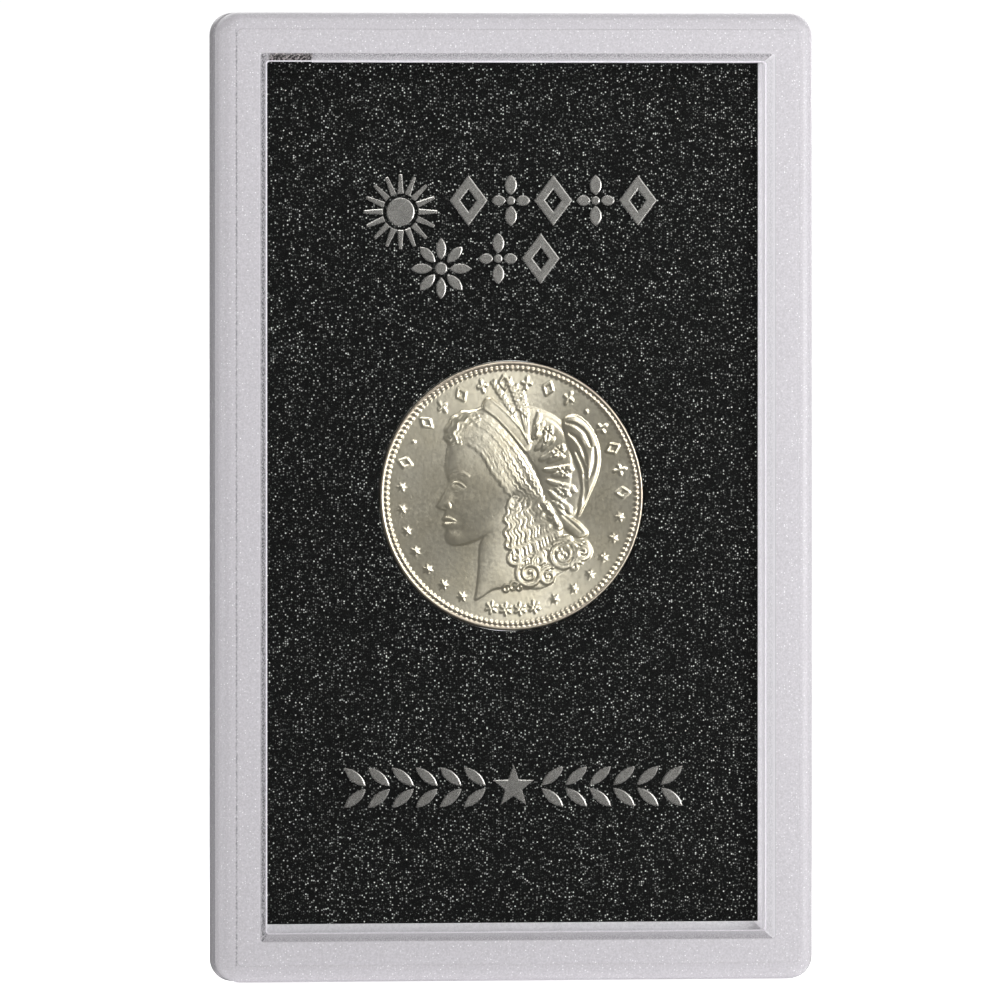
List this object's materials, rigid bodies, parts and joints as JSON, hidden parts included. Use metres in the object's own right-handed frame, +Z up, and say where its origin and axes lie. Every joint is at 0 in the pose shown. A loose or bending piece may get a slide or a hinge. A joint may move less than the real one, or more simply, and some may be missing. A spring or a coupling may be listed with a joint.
{
  "type": "coin slab",
  "caption": "Upright sealed clear case with frosted border holding a black display plate, raised foil ornaments and a large silver coin that can turn in its seat.",
  "frame": {"origin": "middle of the bottom edge of the closed case, standing upright", "axes": "+Z up along the case's height, front face looks towards -Y, +X to the right seen from the front"},
  "size_m": [0.0858, 0.0096, 0.1365],
  "materials": {
    "front_shell": "satin",
    "back_shell": "satin",
    "weld_plastic": "satin",
    "insert_black": "matte",
    "coin_silver": "satin",
    "emblem_silver": "satin",
    "upper_silver": "satin",
    "second_silver": "satin",
    "lower_silver": "satin"
  },
  "bodies": {
    "case": {"front_cover": "front_shell", "back_cover": "back_shell", "weld_seam": "weld_plastic", "display_insert": "insert_black", "emblem_foil": "emblem_silver", "upper_line_foil": "upper_silver", "second_line_foil": "second_silver", "lower_line_foil": "lower_silver"},
    "coin": {"coin": "coin_silver"}
  },
  "joints": [
    {"name": "coin_spin", "type": "hinge", "parent": "case", "child": "coin", "pos_m": [-0.0002, 0, 0.06836], "axis": [0, -1, 0], "continuous": true}
  ]
}
